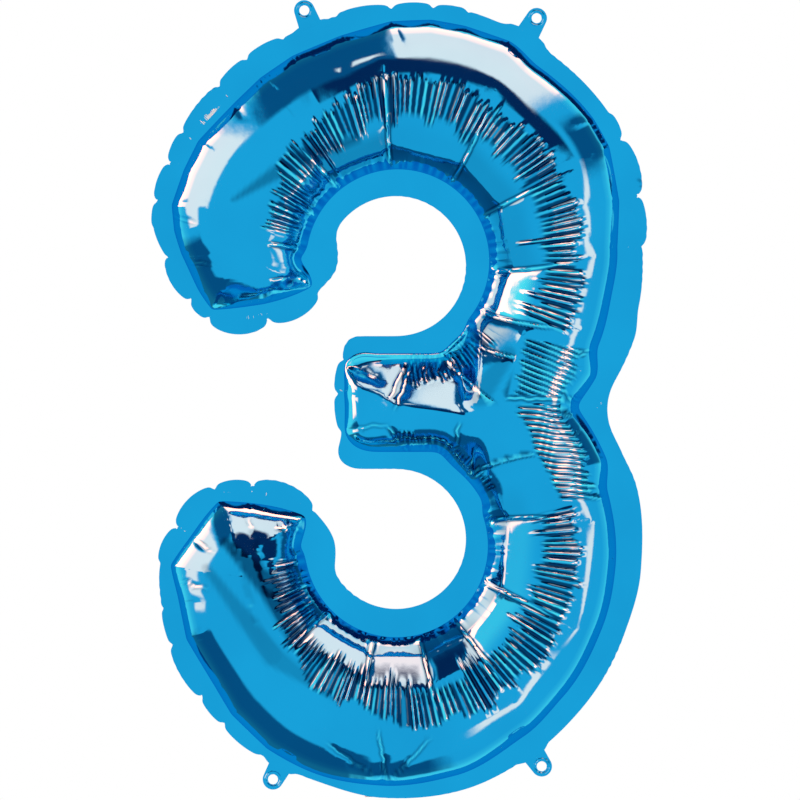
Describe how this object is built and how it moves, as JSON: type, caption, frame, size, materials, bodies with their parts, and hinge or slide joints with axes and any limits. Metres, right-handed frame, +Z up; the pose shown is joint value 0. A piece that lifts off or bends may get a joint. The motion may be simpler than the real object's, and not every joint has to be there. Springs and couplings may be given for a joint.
{
  "type": "foil number balloon",
  "caption": "Air-filled foil balloon shaped like the figure three, with a flat sealed edge, round hang tabs with eyes and a hidden self-closing valve.",
  "frame": {"origin": "centre of the bounding box, in the plane where the two foil panels meet", "axes": "+Z up, along the figure's height; +X to the right as the figure is read from the front; +Y away from the reader, through the balloon's depth"},
  "size_m": [0.2367, 0.06, 0.38],
  "materials": {
    "front_foil": "blue metallised film, mirror bright, creased and gathered along the inner curves",
    "rear_foil": "blue metallised film, mirror bright, creased and gathered along the inner curves",
    "tab_foil": "blue metallised film, flat, with a raised ring around the eye",
    "seal_film": "heat-welded clear polyethylene",
    "valve_film": "thin clear polyethylene film",
    "barrier_coat": "thin printed heat-resistant coat that keeps the valve open at the seal"
  },
  "bodies": {
    "balloon": {"front_panel": "front_foil", "rear_panel": "rear_foil", "perimeter_heat_seal": "seal_film", "valve_neck_front_film": "valve_film", "valve_neck_rear_film": "valve_film", "valve_heat_barrier": "barrier_coat"},
    "tab_top_left": {"hang_tab_top_left": "tab_foil"},
    "tab_top_right": {"hang_tab_top_right": "tab_foil"},
    "tab_bottom_left": {"hang_tab_bottom_left": "tab_foil"},
    "tab_bottom_right": {"hang_tab_bottom_right": "tab_foil"},
    "flap_front": {"valve_flap_front_film": "valve_film"},
    "flap_rear": {"valve_flap_rear_film": "valve_film"}
  },
  "joints": [
    {"name": "tab_top_left_fold", "type": "hinge", "parent": "balloon", "child": "tab_top_left", "pos_m": [-0.04324, 0, 0.1798], "axis": [0.9321, 0, 0.3621], "range_deg": [-90, 90], "stiffness_Nm_per_rad": 0.0004},
    {"name": "tab_top_right_fold", "type": "hinge", "parent": "balloon", "child": "tab_top_right", "pos_m": [0.06266, 0, 0.17701], "axis": [0.866, 0, -0.5001], "range_deg": [-90, 90], "stiffness_Nm_per_rad": 0.0004},
    {"name": "tab_bottom_left_fold", "type": "hinge", "parent": "balloon", "child": "tab_bottom_left", "pos_m": [-0.05793, 0, -0.17644], "axis": [-0.8776, 0, 0.4795], "range_deg": [-90, 90], "stiffness_Nm_per_rad": 0.0004},
    {"name": "tab_bottom_right_fold", "type": "hinge", "parent": "balloon", "child": "tab_bottom_right", "pos_m": [0.06499, 0, -0.17054], "axis": [-0.8276, 0, -0.5613], "range_deg": [-90, 90], "stiffness_Nm_per_rad": 0.0004},
    {"name": "valve_flap_swing", "type": "hinge", "parent": "balloon", "child": "flap_front", "pos_m": [-0.0055, 0, -0.17525], "axis": [1, 0, 0], "range_deg": [-12, 12], "stiffness_Nm_per_rad": 0.00005},
    {"name": "valve_opening", "type": "hinge", "parent": "flap_front", "child": "flap_rear", "pos_m": [-0.0055, 0, -0.17525], "axis": [-1, 0, 0], "range_deg": [0, 6], "stiffness_Nm_per_rad": 0.00005}
  ]
}
